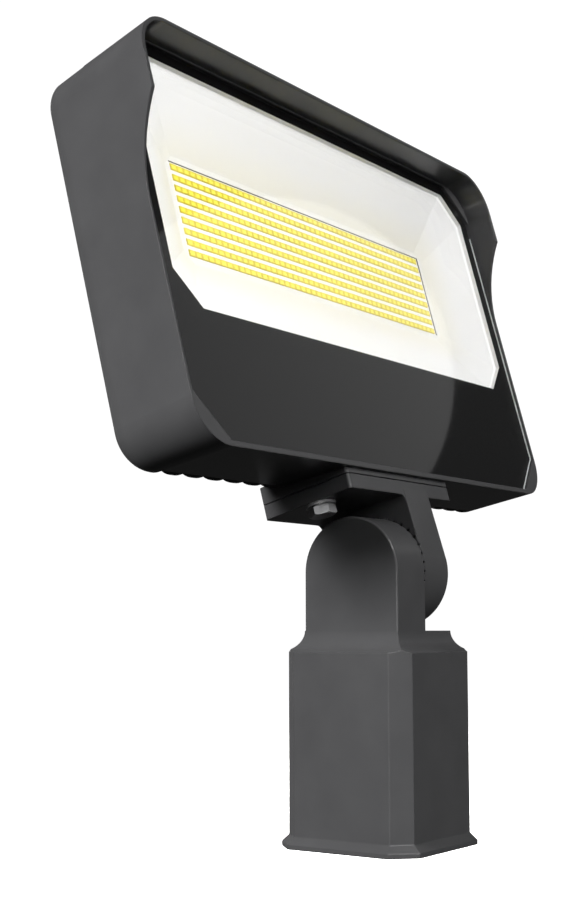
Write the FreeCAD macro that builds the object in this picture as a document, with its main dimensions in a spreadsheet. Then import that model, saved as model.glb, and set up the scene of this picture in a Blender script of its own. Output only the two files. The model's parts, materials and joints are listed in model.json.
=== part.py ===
import FreeCAD, Part
import Sketcher
import math
import os
import re

# LED flood light on a tilting slipfitter. Millimetres, +Z up along the pole, the light looks towards -Y.
# The origin is the centre of the tenon bore's mouth. The head and its bracket are drawn upright about
# the tilt axis, then leaned back about it.

doc = FreeCAD.newDocument("flood_light")
dims = doc.addObject("Spreadsheet::Sheet", "dims")

slipfitter_sizes = {
    "tenon_diameter": 60.3,
    "tenon_gap": 0.35,
    "bore_depth": 84.0,
    "box_width": 76.0,
    "box_chamfer": 9.0,
    "box_height": 100.7,
    "foot_flare": 4.0,
    "foot_chamfer": 12.0,
    "foot_lip": 2.4,
    "foot_height": 6.2,
    "neck_width": 55.0,
    "cove_rise": 11.1,
    "pivot_lift": 2.2,
    "knuckle_radius": 28.7,
    "ear_face": 0.6,
    "ear_rounding": 1.2,
    "clamp_low": 26.0,
    "clamp_high": 62.0,
    "clamp_radius": 5.0,
    "clamp_flats": 16.0,
    "clamp_head": 6.4,
    "clamp_standoff": 6.0,
    "clamp_recess": 0.5,
}
knuckle_sizes = {
    "rest_tilt": 15.3,
    "knuckle_gap": 0.2,
    "tooth_count": 36,
    "tooth_depth": 1.0,
    "tooth_width": 2.0,
    "tooth_length": 8.0,
    "hub_radius": 14.0,
    "hub_depth": 5.0,
    "wire_radius": 5.0,
    "wire_cover": 2.5,
    "wire_stop": 9.0,
    "wire_ahead": 3.0,
    "pivot_radius": 6.0,
    "pivot_tip_cover": 5.8,
    "pivot_flats": 19.0,
    "pivot_head": 7.5,
    "pivot_washer_radius": 12.0,
    "pivot_washer_thick": 2.5,
    "lock_washer_radius": 10.5,
    "lock_washer_thick": 3.0,
    "lock_washer_split": 1.5,
    "washer_play": 0.4,
    "thread_gap": 0.05,
    "hole_cover": 2.0,
    "counterbore_radius": 15.0,
    "counterbore_depth": 14.0,
}
arm_sizes = {
    "arm_ear_thick": 26.5,
    "arm_rounding": 2.0,
    "plate_width": 104.0,
    "plate_lift": 6.7,
    "plate_thick": 7.7,
    "plate_ahead": 27.2,
    "plate_behind": 28.5,
    "plate_corner": 2.2,
    "plate_fillet": 4.0,
    "arm_gasket_thick": 0.5,
    "arm_gasket_inset": 1.0,
    "arm_bolt_edge": 8.0,
    "arm_bolt_ahead": 2.0,
    "arm_bolt_radius": 4.0,
    "arm_bolt_flats": 13.0,
    "arm_bolt_head": 5.3,
    "arm_bolt_grip": 6.2,
    "arm_washer_radius": 8.0,
    "arm_washer_thick": 1.6,
    "bolt_play": 0.3,
}
housing_sizes = {
    "head_width": 349.5,
    "pad_stand": 1.9,
    "head_height": 216.0,
    "head_corner": 23.5,
    "head_draft": 3.3,
    "visor_ahead": 45.5,
    "visor_wall": 2.2,
    "visor_drop": 44.5,
    "sweep_rise": 52.0,
    "sweep_radius": 95.0,
    "rim_ahead": 29.7,
    "rear_behind": 25.8,
    "rear_rounding": 12.0,
    "ledge_width": 4.2,
    "led_floor": 7.4,
    "driver_floor": 9.3,
    "driver_gap": 3.4,
    "fin_margin": 6.45,
    "fin_thick": 3.0,
    "fin_gaps": 21,
    "fin_root": 2.0,
    "step_wall": 6.0,
    "rib_height": 13.5,
    "pad_cover": 0.5,
    "thread_room": 1.4,
    "grommet_hole": 10.0,
    "post_radius": 4.5,
}
front_sizes = {
    "rim_side": 2.75,
    "rim_low": 4.2,
    "rim_high": 3.5,
    "glass_cut": 22.0,
    "glass_thick": 3.0,
    "glass_inset": 1.1,
    "glass_play": 0.4,
    "mask_thick": 0.2,
    "lens_gasket_thick": 1.0,
    "window_side": 7.7,
    "window_low": 66.5,
    "window_high": 6.0,
    "window_cut": 17.5,
}
light_sizes = {
    "slope_side": 39.9,
    "slope_low": 39.5,
    "slope_high": 42.8,
    "tray_rim": 4.0,
    "tray_cut": 6.0,
    "tray_wall": 0.9,
    "tray_gap": 0.3,
    "tab_width": 16.0,
    "tab_side": 44.3,
    "tab_length": 16.0,
    "tab_thick": 1.2,
    "tab_recess": 2.6,
    "tab_screw_inset": 5.0,
    "thermal_thick": 0.4,
    "board_side": 25.6,
    "board_margin": 8.8,
    "board_thick": 1.6,
    "row_count": 9,
    "row_edge": 2.75,
    "row_end": 1.9,
    "chip_width": 3.5,
    "chip_thick": 0.7,
    "board_screw_edge": 9.0,
    "board_screw_inset": 12.0,
    "screw_radius": 1.5,
    "screw_head_radius": 2.75,
    "screw_head": 2.0,
    "screw_grip": 3.6,
    "plug_length": 5.0,
    "plug_width": 10.0,
    "plug_thick": 2.6,
    "plug_inset": 1.0,
    "latch_width": 4.0,
    "latch_height": 0.8,
}
driver_sizes = {
    "driver_side": 73.2,
    "driver_lift": 4.5,
    "driver_headroom": 7.0,
    "driver_thick": 30.0,
    "driver_foot": 12.0,
    "driver_foot_height": 30.0,
    "driver_foot_thick": 3.0,
    "floor_grip": 2.3,
    "lead_radius": 0.9,
    "lead_pitch": 4.0,
    "lead_bend": 6.0,
    "lead_turn": 3.0,
    "lead_run": 12.0,
    "lead_up": 30.0,
    "terminal_gap": 11.0,
    "terminal_length": 34.0,
    "terminal_lift": 10.5,
    "terminal_height": 24.0,
    "terminal_thick": 14.0,
    "terminal_well": 3.2,
    "terminal_ways": 3,
    "ground_inset": 2.0,
    "ground_drop": 10.0,
    "ground_radius": 2.0,
    "ground_head_radius": 4.0,
    "grommet_wall": 4.9,
    "grommet_play": 0.1,
    "grommet_lip": 2.0,
}
# Sizes and places that follow from those above.
followers = {
    "foot_width": "box_width + 2 * foot_flare",
    "shoulder_height": "box_height + cove_rise",
    "pivot_height": "shoulder_height + knuckle_radius + pivot_lift",
    "bore_radius": "tenon_diameter / 2 + tenon_gap",
    "arm_face": "ear_face + knuckle_gap",
    "arm_outside": "arm_face + arm_ear_thick",
    "bolt_seat": "arm_outside - counterbore_depth",
    "head_under_bolt": "bolt_seat + pivot_washer_thick + lock_washer_thick",
    "pivot_tip": "pivot_tip_cover - neck_width / 2",
    "wire_across": "arm_face + wire_cover + wire_radius",
    "plate_drop": "knuckle_radius + plate_lift",
    "plate_top": "plate_drop + plate_thick",
    "pad_face": "plate_top + arm_gasket_thick",
    "arm_bolt_span": "plate_width - 2 * arm_bolt_edge",
    "arm_bolt_length": "arm_washer_thick + plate_thick + arm_gasket_thick + arm_bolt_grip",
    "pad_thread": "arm_bolt_grip + thread_room",
    "head_bottom": "pad_face + pad_stand",
    "head_top": "head_bottom + head_height",
    "visor_tip": "head_top - visor_drop",
    "sweep_foot": "visor_tip - sweep_rise",
    "glass_width": "head_width - 2 * rim_side",
    "glass_bottom": "head_bottom + rim_low",
    "glass_top": "head_top - rim_high",
    "glass_front": "rim_ahead - glass_inset",
    "glass_back": "glass_front - glass_thick",
    "mask_back": "glass_back - mask_thick",
    "ledge": "mask_back - lens_gasket_thick",
    "seat_half": "glass_width / 2 + glass_play",
    "cavity_half": "seat_half - ledge_width",
    "cavity_bottom": "glass_bottom - glass_play + ledge_width",
    "cavity_top": "glass_top + glass_play - ledge_width",
    "pad_rise": "cavity_bottom - pad_face - pad_cover",
    "window_width": "glass_width - 2 * window_side",
    "window_bottom": "glass_bottom + window_low",
    "window_top": "glass_top - window_high",
    "driver_top": "window_bottom - driver_gap",
    "fin_foot": "driver_top + step_wall",
    "fin_pitch": "(head_width - 2 * fin_margin) / fin_gaps",
    "rib_gaps": "fin_gaps - 2",
    "led_width": "window_width - 2 * slope_side",
    "led_bottom": "window_bottom + slope_low",
    "led_top": "window_top - slope_high",
    "board_width": "led_width + 2 * board_side",
    "board_bottom": "led_bottom - board_margin",
    "board_top": "led_top + board_margin",
    "board_back": "led_floor + thermal_thick",
    "board_front": "board_back + board_thick",
    "board_screw_span": "board_width - 2 * board_screw_edge",
    "row_pitch": "(led_top - led_bottom - 2 * row_edge) / (row_count - 1)",
    "row_length": "led_width - 2 * row_end",
    "tray_front": "mask_back - tray_gap",
    "tray_depth": "tray_front - board_front - tray_wall",
    "tray_slope": "(led_bottom - tray_rim + tray_wall - window_bottom) / tray_depth",
    "tab_span": "window_width - 2 * tab_side",
    "tab_screw_up": "window_bottom - tab_length + tab_screw_inset",
    "tab_front": "tray_front - tab_recess",
    "tab_back": "tab_front - tab_thick",
    "tab_high": "window_bottom + tab_recess * tray_slope - tray_wall / 4",
    "driver_width": "2 * (cavity_half - driver_side)",
    "driver_bottom": "cavity_bottom + driver_lift",
    "driver_height": "driver_top - driver_bottom - driver_headroom",
    "driver_front": "driver_thick - driver_floor",
    "lead_exit": "driver_bottom + lead_up",
    "lead_ahead": "board_front + plug_thick / 2",
    "plug_left": "board_width / 2 - plug_inset",
    "plug_up": "(led_bottom + led_top) / 2",
    "terminal_left": "driver_width / 2 + driver_foot + terminal_gap",
    "terminal_bottom": "cavity_bottom + terminal_lift",
    "ground_across": "terminal_left + terminal_length - ground_inset",
    "ground_up": "driver_top - ground_drop",
}
base_tables = (slipfitter_sizes, knuckle_sizes, arm_sizes)
head_tables = (housing_sizes, front_sizes, light_sizes, driver_sizes)
cells = {}
for table in base_tables + head_tables:
    for alias, size in table.items():
        cells[alias] = str(size)
for alias, formula in followers.items():
    cells[alias] = "=" + formula
for row, (alias, entry) in enumerate(cells.items(), start=1):
    dims.set(f"A{row}", alias)
    dims.set(f"B{row}", entry)
    dims.setAlias(f"B{row}", alias)
doc.recompute()

# How far a cut runs on past the face where it ends.
overrun = "1.0"


def spell(text):
    return re.sub(r"[a-z_]+", lambda m: "dims." + m[0] if m[0] in cells else m[0], str(text))


def value(text):
    return float(dims.evalExpression(str(text)))


def bind(item, prop, text):
    item.setExpression(prop, spell(text))


def new_body(label):
    body = doc.addObject("PartDesign::Body", label)
    body.Label = label
    return body


def sketch_on(body, role, name, along="0"):
    # A sketch on one of the body's own planes, moved along the plane's normal.
    sketch = body.newObject("Sketcher::SketchObject", name)
    plane = [item for item in body.Origin.OriginFeatures if item.Role == role][0]
    sketch.AttachmentSupport = [(plane, "")]
    sketch.MapMode = "FlatFace"
    bind(sketch, "AttachmentOffset.Base.z", along)
    return sketch


def pin_point(sketch, geometry, end, corner):
    for kind, text in zip(("DistanceX", "DistanceY"), corner):
        index = sketch.addConstraint(Sketcher.Constraint(kind, -1, 1, geometry, end, value(text)))
        bind(sketch, f"Constraints[{index}]", text)


def arc_between(start, finish, radius, left):
    # The short arc from start to finish. Its centre lies on the left of the chord, or on the right.
    chord = finish - start
    half = chord.Length / 2
    rise = math.sqrt(max(radius * radius - half * half, 0.0))
    across = FreeCAD.Vector(-chord.y, chord.x, 0).normalize() * (1 if left else -1)
    centre = (start + finish) / 2 + across * rise
    middle = centre - across * radius
    return Part.Arc(start, middle, finish)


def loop(sketch, corners, closed=True):
    # Straight sides through the corners. A corner with a radius starts an arc to the next corner.
    spots = [FreeCAD.Vector(value(c[0]), value(c[1]), 0) for c in corners]
    first = sketch.GeometryCount
    sides = len(corners) if closed else len(corners) - 1
    starts = []
    ends = []
    for side in range(sides):
        corner = corners[side]
        begin = spots[side]
        finish = spots[(side + 1) % len(spots)]
        if len(corner) > 2:
            arc = arc_between(begin, finish, value(corner[2]), corner[3] == "left")
            index = sketch.addGeometry(arc)
            first_gap = sketch.getPoint(index, 1).distanceToPoint(begin)
            last_gap = sketch.getPoint(index, 2).distanceToPoint(begin)
            forward = first_gap < last_gap
            starts.append((index, 1 if forward else 2))
            ends.append((index, 2 if forward else 1))
        else:
            index = sketch.addGeometry(Part.LineSegment(begin, finish))
            starts.append((index, 1))
            ends.append((index, 2))
    for side in range(sides):
        pin_point(sketch, *starts[side], corners[side])
    if not closed:
        pin_point(sketch, *ends[-1], corners[-1])
    for side in range(sides if closed else sides - 1):
        sketch.addConstraint(Sketcher.Constraint("Coincident", *ends[side], *starts[(side + 1) % sides]))
    for side in range(sides):
        if len(corners[side]) > 2:
            curve = corners[side][2]
            radius = sketch.addConstraint(Sketcher.Constraint("Radius", first + side, value(curve)))
            bind(sketch, f"Constraints[{radius}]", curve)
    return sketch


def ring(sketch, across, up, radius):
    spot = FreeCAD.Vector(value(across), value(up), 0)
    index = sketch.addGeometry(Part.Circle(spot, FreeCAD.Vector(0, 0, 1), value(radius)))
    pin_point(sketch, index, 3, (across, up))
    size = sketch.addConstraint(Sketcher.Constraint("Radius", index, value(radius)))
    bind(sketch, f"Constraints[{size}]", radius)
    return sketch


def rectangle(sketch, left, right, low, high):
    return loop(sketch, [(left, low), (right, low), (right, high), (left, high)])


def cut_corners(half, low, high, cut):
    # An upright rectangle about the middle line with its four corners cut off at 45 degrees.
    return [
        (f"-{half} + {cut}", low),
        (f"{half} - {cut}", low),
        (half, f"{low} + {cut}"),
        (half, f"{high} - {cut}"),
        (f"{half} - {cut}", high),
        (f"-{half} + {cut}", high),
        (f"-{half}", f"{high} - {cut}"),
        (f"-{half}", f"{low} + {cut}"),
    ]


def round_corners(half, low, high, radius):
    bent = (radius, "left")
    return [
        (f"-{half} + {radius}", low),
        (f"{half} - {radius}", low, *bent),
        (half, f"{low} + {radius}"),
        (half, f"{high} - {radius}", *bent),
        (f"{half} - {radius}", high),
        (f"-{half} + {radius}", high, *bent),
        (f"-{half}", f"{high} - {radius}"),
        (f"-{half}", f"{low} + {radius}", *bent),
    ]


def extrude(body, kind, sketch, name, length, backward=False):
    feature = body.newObject("PartDesign::" + kind, name)
    feature.Profile = sketch
    feature.Reversed = backward
    bind(feature, "Length", length)
    doc.recompute()
    return feature


def pad(body, sketch, name, length, backward=False):
    return extrude(body, "Pad", sketch, name, length, backward)


def pocket(body, sketch, name, length, backward=False):
    before = body.Shape.Volume
    feature = extrude(body, "Pocket", sketch, name, length, backward)
    if body.Shape.Volume > before - 0.01:
        raise RuntimeError(f"{body.Label} {name} removes nothing")
    return feature


def loft(body, kind, name, sections):
    feature = body.newObject("PartDesign::" + kind, name)
    feature.Profile = sections[0]
    feature.Sections = sections[1:]
    doc.recompute()
    return feature


def rounded(body, name, radius, choose):
    # Rounds the edges of the body that the test picks.
    base = body.Tip
    picked = [f"Edge{i}" for i, edge in enumerate(base.Shape.Edges, start=1) if choose(edge)]
    feature = body.newObject("PartDesign::Fillet", name)
    feature.Base = (base, picked)
    bind(feature, "Radius", radius)
    doc.recompute()
    return feature


def repeat(body, kind, name, feature, axis, count, extent):
    pattern = body.newObject("PartDesign::" + kind, name)
    pattern.Originals = [feature]
    if kind == "PolarPattern":
        pattern.Axis = axis
        pattern.Angle = extent
    else:
        pattern.Direction = axis
        bind(pattern, "Length", extent)
    bind(pattern, "Occurrences", count)
    body.Tip = pattern
    doc.recompute()
    return pattern


def near(first, second):
    return abs(first - second) < 0.01


def flat_at(edge, axis, place):
    box = edge.BoundBox
    low, high = {"x": (box.XMin, box.XMax), "y": (box.YMin, box.YMax), "z": (box.ZMin, box.ZMax)}[axis]
    return near(low, place) and near(high, place)


def upright(edge, across, along):
    box = edge.BoundBox
    lines_up = near(abs(box.XMin), across) and near(box.XLength, 0)
    return lines_up and near(box.YLength, 0) and (near(box.YMin, along[0]) or near(box.YMin, along[1]))


def block(name, x, y, z):
    # A plain box between two places on each axis.
    item = doc.addObject("Part::Box", name)
    for size, axis, (low, high) in (("Length", "x", x), ("Width", "y", y), ("Height", "z", z)):
        bind(item, size, f"{high} - ({low})")
        bind(item, f"Placement.Base.{axis}", low)
    return item


turns = {
    "x": FreeCAD.Rotation(FreeCAD.Vector(0, 1, 0), 90),
    "y": FreeCAD.Rotation(FreeCAD.Vector(1, 0, 0), -90),
    "z": FreeCAD.Rotation(),
}


def along_axis(item, axis, centre):
    item.Placement.Rotation = turns[axis]
    for name, text in zip("xyz", centre):
        bind(item, f"Placement.Base.{name}", text)
    return item


def rod(name, axis, centre, radius, length):
    item = along_axis(doc.addObject("Part::Cylinder", name), axis, centre)
    bind(item, "Radius", radius)
    bind(item, "Height", length)
    return item


def hexagon(name, axis, centre, flats, length):
    item = along_axis(doc.addObject("Part::Prism", name), axis, centre)
    item.Polygon = 6
    bind(item, "Circumradius", f"{flats} / sqrt(3)")
    bind(item, "Height", length)
    return item


def joined(name, pieces):
    item = doc.addObject("Part::MultiFuse", name)
    item.Shapes = pieces
    return item


def without(name, base, tools):
    item = doc.addObject("Part::Cut", name)
    item.Base = base
    item.Tool = tools[0] if len(tools) == 1 else joined(name + "_tools", tools)
    return item


def grouped(name, pieces):
    item = doc.addObject("Part::Compound", name)
    item.Links = pieces
    return item


def screw(name, axis, seat, shank, length, head, head_length, outward):
    # A round-headed screw. Its head stands on the seat towards outward, its shank goes the other way.
    place = dict(zip("xyz", seat))
    start = dict(place)
    if outward > 0:
        start[axis] = f"{place[axis]} - {length}"
        crown = dict(place)
    else:
        crown = dict(place)
        crown[axis] = f"{place[axis]} - {head_length}"
    body = rod(name + "_shank", axis, start.values(), shank, length)
    cap = rod(name + "_head", axis, crown.values(), head, head_length)
    return joined(name, [body, cap])


finished = []


def keep(item, label):
    item.Label = label
    finished.append(item)
    return item


def on_head(item, label):
    # Leans a piece of the head back about the tilt axis.
    item.Placement = FreeCAD.Placement(FreeCAD.Vector(), FreeCAD.Rotation(FreeCAD.Vector(-1, 0, 0), 1))
    bind(item, "Placement.Rotation.Angle", "rest_tilt")
    bind(item, "Placement.Base.z", "pivot_height")
    return keep(item, label)


def knuckle_teeth(body, face, tilt, pivot_up, inward):
    # Radial grooves round the knuckle's flat face. They meet those of the other half at rest.
    reach = f"(knuckle_radius + {overrun})"
    groove = sketch_on(body, "XY_Plane", "groove_profile", f"{pivot_up} + {reach} * cos({tilt} * 1 deg)")
    bind(groove, "AttachmentOffset.Base.y", f"-{reach} * sin({tilt} * 1 deg)")
    groove.AttachmentOffset.Rotation = FreeCAD.Rotation(FreeCAD.Vector(1, 0, 0), 1)
    bind(groove, "AttachmentOffset.Rotation.Angle", tilt)
    side = "-" if inward < 0 else "+"
    back = "+" if inward < 0 else "-"
    loop(groove, [
        (f"{face} {back} {overrun}", "-tooth_width / 2"),
        (face, "-tooth_width / 2"),
        (f"{face} {side} tooth_depth", "0"),
        (face, "tooth_width / 2"),
        (f"{face} {back} {overrun}", "tooth_width / 2"),
    ])
    cut = pocket(body, groove, "groove", f"tooth_length + {overrun}")
    hub = sketch_on(body, "YZ_Plane", "knuckle_axis", face)
    bind(hub, "AttachmentOffset.Base.y", pivot_up)
    ring(hub, "0", "0", "hub_radius")
    pocket(body, hub, "hub_recess", "hub_depth", inward > 0)
    repeat(body, "PolarPattern", "grooves", cut, (hub, ["N_Axis"]), "tooth_count", 360)


# Slipfitter: flared foot, square box, cove up to the neck, and one ear with a round top.
slipfitter = new_body("slipfitter")


def octagon(name, up, wide, deep, cut):
    sketch = sketch_on(slipfitter, "XY_Plane", name, up)
    corners = [
        (f"-{wide} + {cut}", f"-{deep}"),
        (f"{wide} - {cut}", f"-{deep}"),
        (wide, f"-{deep} + {cut}"),
        (wide, f"{deep} - {cut}"),
        (f"{wide} - {cut}", deep),
        (f"-{wide} + {cut}", deep),
        (f"-{wide}", f"{deep} - {cut}"),
        (f"-{wide}", f"-{deep} + {cut}"),
    ]
    return loop(sketch, corners)


ear = sketch_on(slipfitter, "YZ_Plane", "ear_outline", "-neck_width / 2")
loop(ear, [
    ("-knuckle_radius", "box_height"),
    ("knuckle_radius", "box_height"),
    ("knuckle_radius", "pivot_height", "knuckle_radius", "left"),
    ("0", "pivot_height + knuckle_radius", "knuckle_radius", "left"),
    ("-knuckle_radius", "pivot_height"),
])
pad(slipfitter, ear, "ear", "neck_width / 2 + ear_face")
ear_outside = -value("neck_width / 2")
ear_top = value("shoulder_height")
rounded(
    slipfitter, "ear_rim", "ear_rounding",
    lambda edge: flat_at(edge, "x", ear_outside) and edge.BoundBox.ZMax > ear_top,
)
foot_half = "foot_width / 2"
box_half = "box_width / 2"


def cove_half(neck, share):
    # Half width of the cove, an arc that meets the upright neck, at a share of its height.
    inset = f"({box_half} - {neck})"
    rise = "(shoulder_height - box_height)"
    radius = f"(({inset}^2 + {rise}^2) / (2 * {inset}))"
    return f"({neck} + {radius} - sqrt({radius}^2 - ({rise} * {1 - share})^2))"


cove_steps = 5
cove = []
for step in range(cove_steps):
    share = step / (cove_steps - 1)
    up = f"box_height + (shoulder_height - box_height) * {share}"
    wide = cove_half("neck_width / 2", share)
    deep = cove_half("knuckle_radius", share)
    section = sketch_on(slipfitter, "XY_Plane", f"cove_{step}", up)
    cove.append(rectangle(section, f"-{wide}", wide, f"-{deep}", deep))
loft(slipfitter, "AdditiveLoft", "cove", cove)
# The box's upright chamfers run on through the foot of the cove.
cove_chamfers = sketch_on(slipfitter, "XY_Plane", "cove_chamfers", "shoulder_height")
corner = f"({box_half} + {overrun})"
chamfer_end = f"({box_half} - box_chamfer - {overrun})"
for across in ("-", ""):
    for along in ("-", ""):
        loop(cove_chamfers, [
            (f"{across}{corner}", f"{along}{corner}"),
            (f"{across}{chamfer_end}", f"{along}{corner}"),
            (f"{across}{corner}", f"{along}{chamfer_end}"),
        ])
pocket(slipfitter, cove_chamfers, "cove_chamfer_cuts", "cove_rise")
box_outline = octagon("box_outline", "foot_height", box_half, box_half, "box_chamfer")
pad(slipfitter, box_outline, "box", "box_height - foot_height")
flare = [
    octagon("flare_low", "foot_lip", foot_half, foot_half, "foot_chamfer"),
    octagon("flare_high", "foot_height", box_half, box_half, "box_chamfer"),
]
loft(slipfitter, "AdditiveLoft", "flare", flare)
pad(slipfitter, octagon("foot_outline", "0", foot_half, foot_half, "foot_chamfer"), "foot", "foot_lip")

bore_ring = sketch_on(slipfitter, "XY_Plane", "bore_ring")
ring(bore_ring, "0", "0", "bore_radius")
pocket(slipfitter, bore_ring, "bore", "bore_depth", True)
wire_ring = sketch_on(slipfitter, "XY_Plane", "wire_ring", f"bore_depth - {overrun}")
ring(wire_ring, "ear_face - wire_cover - wire_radius", "0", "wire_radius")
pocket(slipfitter, wire_ring, "wire_way", f"pivot_height - wire_stop - bore_depth + {overrun}", True)
pivot_ring = sketch_on(slipfitter, "YZ_Plane", "pivot_ring", "ear_face")
ring(pivot_ring, "0", "pivot_height", "pivot_radius + thread_gap")
pocket(slipfitter, pivot_ring, "pivot_thread", "ear_face - pivot_tip + hole_cover")
clamp_rings = sketch_on(slipfitter, "XZ_Plane", "clamp_rings", f"-{box_half}")
for height in ("clamp_low", "clamp_high"):
    ring(clamp_rings, "0", height, "clamp_radius + thread_gap")
pocket(slipfitter, clamp_rings, "clamp_threads", f"{box_half} - clamp_radius", True)
knuckle_teeth(slipfitter, "ear_face", "0", "pivot_height", -1)
keep(slipfitter, "slipfitter")

# The two screws that clamp the tenon stand out of the rear face, with their tips just short of the bore.
for name, height in (("clamp_screw_lower", "clamp_low"), ("clamp_screw_upper", "clamp_high")):
    tip = "(bore_radius + clamp_recess)"
    seat = f"({box_half} + clamp_standoff)"
    shank = rod(name + "_shank", "y", ("0", tip, height), "clamp_radius", f"{seat} - {tip}")
    crown = hexagon(name + "_head", "y", ("0", seat, height), "clamp_flats", "clamp_head")
    keep(joined(name, [shank, crown]), name)

# The knuckle's bolt goes in from the arm's side and threads into the slipfitter's ear.
bolt_start = ("pivot_tip", "0", "pivot_height")
bolt_shank = rod("bolt_shank", "x", bolt_start, "pivot_radius", "head_under_bolt - pivot_tip")
bolt_crown = hexagon("bolt_crown", "x", ("head_under_bolt", "0", "pivot_height"), "pivot_flats", "pivot_head")
keep(joined("pivot_bolt", [bolt_shank, bolt_crown]), "pivot_bolt")
washer_hole = "pivot_radius + washer_play"


def washer(name, axis, seat, radius, hole, thick):
    disc = rod(name + "_disc", axis, seat, radius, thick)
    return without(name, disc, [rod(name + "_hole", axis, seat, hole, thick)])


flat_seat = ("bolt_seat", "0", "pivot_height")
flat_ring = washer("pivot_washer", "x", flat_seat, "pivot_washer_radius", washer_hole, "pivot_washer_thick")
keep(flat_ring, "pivot_washer")
lock_low = "(bolt_seat + pivot_washer_thick)"
lock_seat = (lock_low, "0", "pivot_height")
lock_ring = washer("lock_ring", "x", lock_seat, "lock_washer_radius", washer_hole, "lock_washer_thick")
lock_split = block(
    "lock_split",
    (lock_low, f"{lock_low} + lock_washer_thick"),
    ("-lock_washer_split / 2", "lock_washer_split / 2"),
    ("pivot_height", f"pivot_height + lock_washer_radius + {overrun}"),
)
keep(without("pivot_lock_washer", lock_ring, [lock_split]), "pivot_lock_washer")

# Tilt arm: the plate under the head, and the ear that turns on the knuckle.
arm = new_body("tilt_arm")
arm_ear = sketch_on(arm, "YZ_Plane", "arm_ear_outline", "arm_face")
loop(arm_ear, [
    ("plate_behind", "plate_drop + plate_thick / 2"),
    ("-plate_ahead", "plate_drop + plate_thick / 2"),
    ("-knuckle_radius", "0", "knuckle_radius", "left"),
    ("0", "-knuckle_radius", "knuckle_radius", "left"),
    ("knuckle_radius", "0"),
])
pad(arm, arm_ear, "arm_ear", "arm_ear_thick")
arm_rim = value("arm_outside")
arm_seat = value("plate_drop")
rounded(
    arm, "arm_rim", "arm_rounding",
    lambda edge: flat_at(edge, "x", arm_rim) and edge.BoundBox.ZMin < arm_seat,
)
plate = sketch_on(arm, "XY_Plane", "plate_outline", "plate_drop")
rectangle(plate, "-plate_width / 2", "plate_width / 2", "-plate_ahead", "plate_behind")
pad(arm, plate, "plate", "plate_thick")
plate_half = value("plate_width / 2")
plate_ends = (-value("plate_ahead"), value("plate_behind"))
rounded(arm, "plate_corners", "plate_corner", lambda edge: upright(edge, plate_half, plate_ends))
ear_inside = value("arm_face")
rounded(
    arm, "ear_root", "plate_fillet",
    lambda edge: flat_at(edge, "z", arm_seat) and flat_at(edge, "x", ear_inside),
)
counterbore = sketch_on(arm, "YZ_Plane", "counterbore_ring", "arm_outside")
pocket(arm, ring(counterbore, "0", "0", "counterbore_radius"), "counterbore", "counterbore_depth")
arm_pivot = sketch_on(arm, "YZ_Plane", "arm_pivot_ring", "arm_outside")
pocket(arm, ring(arm_pivot, "0", "0", "pivot_radius + thread_gap"), "arm_pivot", "arm_ear_thick")
arm_wire = sketch_on(arm, "XY_Plane", "arm_wire_ring", "plate_top")
ring(arm_wire, "wire_across", "-wire_ahead", "wire_radius")
pocket(arm, arm_wire, "arm_wire_way", "plate_top - wire_stop")
bolt_holes = sketch_on(arm, "XY_Plane", "bolt_hole_rings", "plate_top")
for side in ("-", ""):
    ring(bolt_holes, f"{side}arm_bolt_span / 2", "-arm_bolt_ahead", "arm_bolt_radius + bolt_play")
pocket(arm, bolt_holes, "bolt_holes", "plate_thick")
knuckle_teeth(arm, "arm_face", "rest_tilt", "0", 1)
on_head(arm, "tilt_arm")

# The seal between the plate and the pad of the housing.
seal_half = "(plate_width / 2 - arm_gasket_inset)"
seal = block(
    "seal_sheet", (f"-{seal_half}", seal_half),
    ("-plate_ahead + arm_gasket_inset", "plate_behind - arm_gasket_inset"), ("plate_top", "pad_face"),
)
seal_wire = ("wire_across", "-wire_ahead", "plate_top")
seal_holes = [rod("seal_wire", "z", seal_wire, "grommet_hole", "arm_gasket_thick")]
for index, side in enumerate(("-", "")):
    spot = (f"{side}arm_bolt_span / 2", "-arm_bolt_ahead", "plate_top")
    seal_holes.append(rod(f"seal_bolt_{index}", "z", spot, "arm_bolt_radius + bolt_play", "arm_gasket_thick"))
on_head(without("arm_gasket", seal, seal_holes), "arm_gasket")

bolts = []
rings = []
bolt_under = "(plate_drop - arm_washer_thick)"
for index, side in enumerate(("-", "")):
    spot = (f"{side}arm_bolt_span / 2", "-arm_bolt_ahead")
    shank = rod(f"arm_shank_{index}", "z", (*spot, bolt_under), "arm_bolt_radius", "arm_bolt_length")
    crown_end = (*spot, f"{bolt_under} - arm_bolt_head")
    crown = hexagon(f"arm_crown_{index}", "z", crown_end, "arm_bolt_flats", "arm_bolt_head")
    bolts.append(joined(f"arm_bolt_{index}", [shank, crown]))
    hole = "arm_bolt_radius + bolt_play"
    under = (*spot, bolt_under)
    rings.append(washer(f"arm_ring_{index}", "z", under, "arm_washer_radius", hole, "arm_washer_thick"))
on_head(grouped("arm_bolts", bolts), "arm_bolts")
on_head(grouped("arm_washers", rings), "arm_washers")

# Housing: drafted shell with a visor, a seat for the glass, two compartments and rear fins.
housing = new_body("housing")
shell = sketch_on(housing, "XZ_Plane", "shell_outline", "visor_ahead")
loop(shell, round_corners("head_width / 2", "head_bottom", "head_top", "head_corner"))
shell_pad = pad(housing, shell, "shell", "visor_ahead + rear_behind", True)
bind(shell_pad, "TaperAngle", "-head_draft")
doc.recompute()
rear = value("rear_behind")
rounded(housing, "rear_edge", "rear_rounding", lambda edge: flat_at(edge, "y", rear))

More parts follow.
